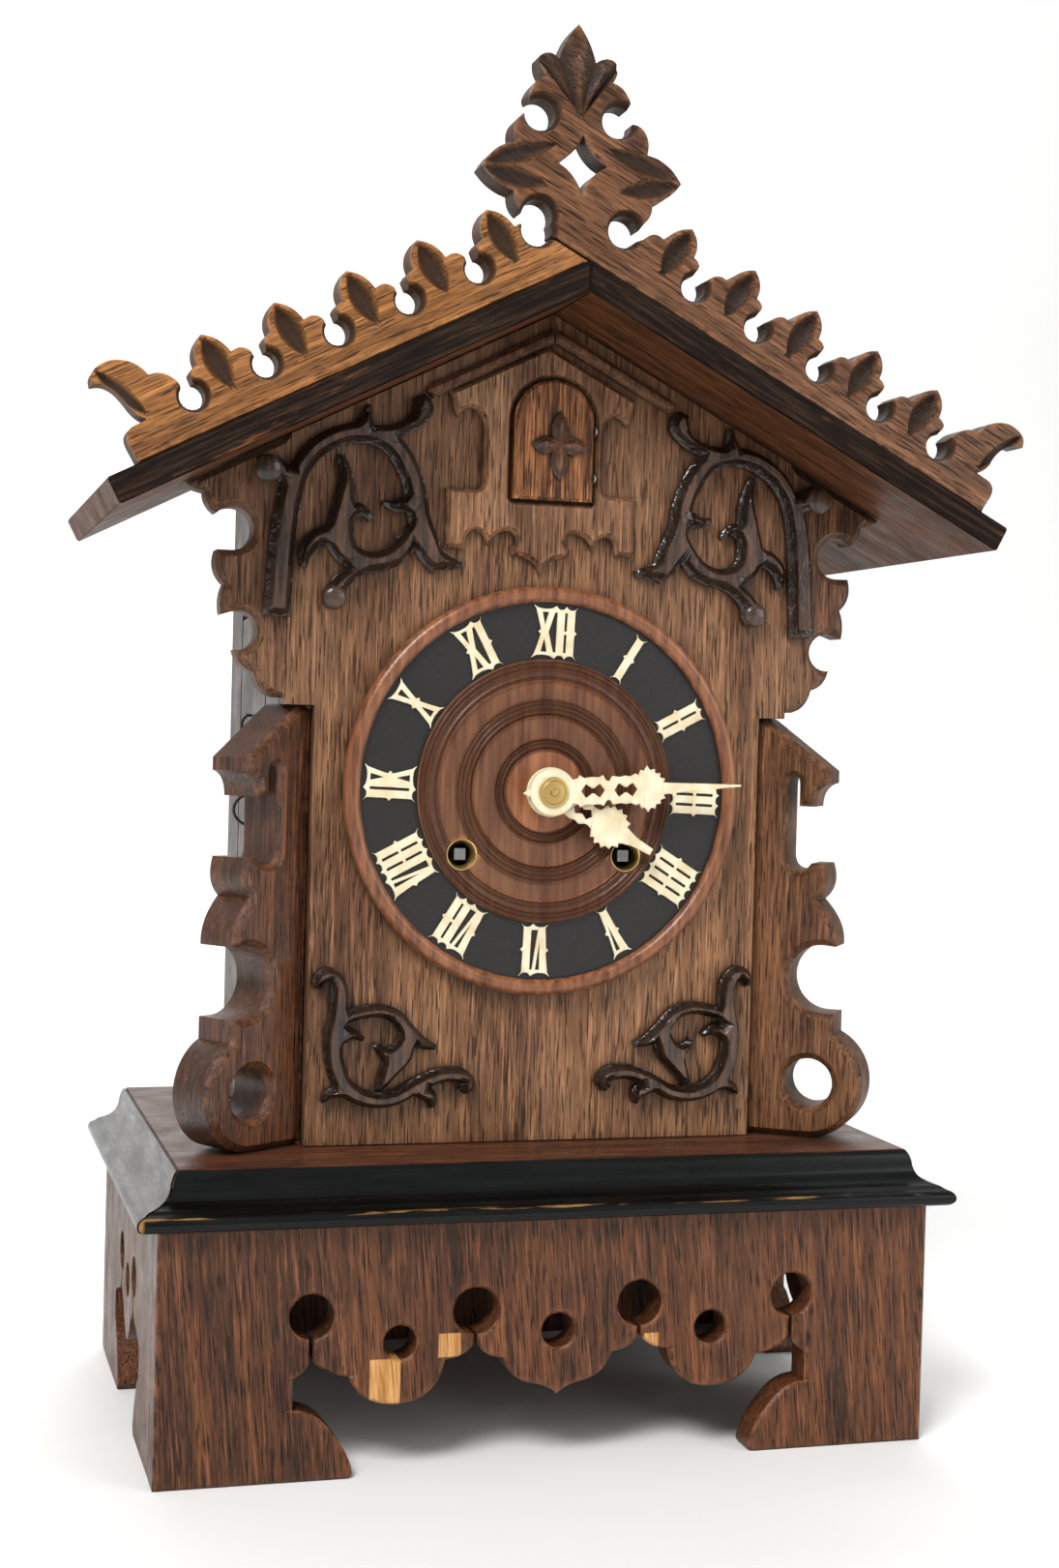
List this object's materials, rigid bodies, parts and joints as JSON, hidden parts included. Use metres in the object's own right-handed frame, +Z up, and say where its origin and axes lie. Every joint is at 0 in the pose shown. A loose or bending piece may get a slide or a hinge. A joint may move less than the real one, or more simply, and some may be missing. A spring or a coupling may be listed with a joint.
{
  "type": "mantel cuckoo clock",
  "caption": "Spring-driven wooden mantel cuckoo clock: carved gabled case on a fretted base, dial with bone hands, cuckoo door, two-train movement, gong and bellows.",
  "frame": {"origin": "centre of the bounding box footprint, on the floor under the feet", "axes": "+Z up, -Y towards the front (the dial side), +X to the right seen from the front"},
  "size_m": [0.3272, 0.181, 0.485],
  "materials": {
    "oak": "waxed oak, worn",
    "base_oak": "stained oak, worn",
    "light_oak": "waxed oak, golden",
    "dark_oak": "dark stained oak",
    "black_wood": "black painted wood, rubbed edges",
    "carving": "carved dark walnut, oiled",
    "dial_wood": "turned and lacquered wood with a black ring",
    "pine": "plain pine and limewood",
    "bone": "carved bone, ivory coloured",
    "brass": "satin brass",
    "steel": "satin steel",
    "leather": "thin kid leather"
  },
  "bodies": {
    "case": {"base_front": "base_oak", "base_back": "base_oak", "base_side_left": "base_oak", "base_side_right": "base_oak", "base_top": "oak", "case_front": "oak", "door_surround": "oak", "wing_left": "oak", "wing_right": "oak", "case_side_left": "oak", "case_side_right": "oak", "gable_moulding_left": "oak", "gable_moulding_right": "oak", "cornice_front": "black_wood", "cornice_left": "black_wood", "cornice_right": "black_wood", "crest_left": "light_oak", "buttress_left": "light_oak", "buttress_right": "light_oak", "crest_right": "dark_oak", "roof_left": "dark_oak", "roof_right": "dark_oak", "scroll_upper_left": "carving", "scroll_upper_right": "carving", "scroll_lower_left": "carving", "scroll_lower_right": "carving", "dial": "dial_wood", "pipe_left": "pine", "pipe_right": "pine", "bellows_leather_left": "leather", "bellows_leather_right": "leather", "gong": "steel", "movement_plate_front": "brass", "movement_plate_back": "brass"},
    "minute_work": {"minute_hand": "bone", "hand_nut": "brass", "centre_wheel": "brass"},
    "hour_work": {"hour_hand": "bone", "hour_wheel": "brass"},
    "time_barrel": {"time_barrel": "brass"},
    "strike_barrel": {"strike_barrel": "brass"},
    "winding_left": {"winding_arbor_left": "steel"},
    "winding_right": {"winding_arbor_right": "steel"},
    "third_wheel": {"third_wheel": "brass"},
    "escape_wheel": {"escape_wheel": "brass"},
    "strike_wheel": {"strike_wheel": "brass"},
    "fly": {"fly": "brass"},
    "pendulum": {"pendulum": "brass", "anchor": "steel"},
    "hammer": {"hammer": "steel"},
    "lid_left": {"bellows_lid_left": "pine"},
    "lid_right": {"bellows_lid_right": "pine"},
    "bird": {"cuckoo_bird": "pine", "bird_slide": "steel"},
    "door": {"cuckoo_door": "dark_oak", "door_rosette": "oak"},
    "back_door": {"back_door": "pine"},
    "side_door_left": {"side_door_left": "oak"},
    "side_door_right": {"side_door_right": "oak"}
  },
  "joints": [
    {"name": "minute_spin", "type": "hinge", "parent": "case", "child": "minute_work", "pos_m": [0, 0.0065, 0.228], "axis": [0, 1, 0], "continuous": true},
    {"name": "hour_spin", "type": "hinge", "parent": "case", "child": "hour_work", "pos_m": [0, 0.0065, 0.228], "axis": [0, 1, 0], "continuous": true},
    {"name": "time_barrel_spin", "type": "hinge", "parent": "case", "child": "time_barrel", "pos_m": [0.03, 0.0065, 0.2055], "axis": [0, 1, 0], "continuous": true},
    {"name": "third_spin", "type": "hinge", "parent": "case", "child": "third_wheel", "pos_m": [0.01807, 0.0065, 0.2521], "axis": [0, 1, 0], "continuous": true},
    {"name": "escape_spin", "type": "hinge", "parent": "case", "child": "escape_wheel", "pos_m": [0, 0.0065, 0.26715], "axis": [0, 1, 0], "continuous": true},
    {"name": "strike_barrel_spin", "type": "hinge", "parent": "case", "child": "strike_barrel", "pos_m": [-0.03, 0.0065, 0.2055], "axis": [0, 1, 0], "continuous": true},
    {"name": "strike_wheel_spin", "type": "hinge", "parent": "case", "child": "strike_wheel", "pos_m": [-0.03, 0.0065, 0.24302], "axis": [0, 1, 0], "continuous": true},
    {"name": "fly_spin", "type": "hinge", "parent": "case", "child": "fly", "pos_m": [-0.03, 0.0065, 0.26064], "axis": [0, 1, 0], "continuous": true},
    {"name": "wind_left", "type": "hinge", "parent": "case", "child": "winding_left", "pos_m": [-0.03, 0.0065, 0.2055], "axis": [0, 1, 0], "continuous": true},
    {"name": "wind_right", "type": "hinge", "parent": "case", "child": "winding_right", "pos_m": [0.03, 0.0065, 0.2055], "axis": [0, 1, 0], "continuous": true},
    {"name": "pendulum_swing", "type": "hinge", "parent": "case", "child": "pendulum", "pos_m": [0, 0.0065, 0.29], "axis": [0, 1, 0], "range_deg": [-5, 5]},
    {"name": "hammer_swing", "type": "hinge", "parent": "case", "child": "hammer", "pos_m": [-0.05, 0.0065, 0.248], "axis": [0, 1, 0], "range_deg": [-3, 8]},
    {"name": "lid_left_lift", "type": "hinge", "parent": "case", "child": "lid_left", "pos_m": [-0.0695, 0.0725, 0.3093], "axis": [-1, 0, 0], "range_deg": [0, 12]},
    {"name": "lid_right_lift", "type": "hinge", "parent": "case", "child": "lid_right", "pos_m": [0.0695, 0.0725, 0.3093], "axis": [-1, 0, 0], "range_deg": [0, 12]},
    {"name": "bird_out", "type": "slide", "parent": "case", "child": "bird", "axis": [0, -1, 0], "range_m": [0, 0.042]},
    {"name": "door_swing", "type": "hinge", "parent": "case", "child": "door", "pos_m": [0.0156, -0.0489, 0.348], "axis": [0, 0, 1], "range_deg": [0, 100]},
    {"name": "back_door_swing", "type": "hinge", "parent": "case", "child": "back_door", "pos_m": [-0.0822, 0.0827, 0.228], "axis": [0, 0, 1], "range_deg": [0, 110]},
    {"name": "side_door_left_swing", "type": "hinge", "parent": "case", "child": "side_door_left", "pos_m": [-0.0921, 0.0559, 0.228], "axis": [0, 0, -1], "range_deg": [0, 100]},
    {"name": "side_door_right_swing", "type": "hinge", "parent": "case", "child": "side_door_right", "pos_m": [0.0921, 0.0559, 0.228], "axis": [0, 0, 1], "range_deg": [0, 100]}
  ],
  "couplings": [
    {"joint": "hour_spin", "follows": "minute_spin", "ratio": 0.083333},
    {"joint": "time_barrel_spin", "follows": "minute_spin", "ratio": -0.1},
    {"joint": "third_spin", "follows": "minute_spin", "ratio": -9},
    {"joint": "escape_spin", "follows": "minute_spin", "ratio": 108},
    {"joint": "strike_wheel_spin", "follows": "strike_barrel_spin", "ratio": -10},
    {"joint": "fly_spin", "follows": "strike_barrel_spin", "ratio": 106.67},
    {"joint": "door_swing", "follows": "bird_out", "rad_per_m": 41.5}
  ]
}
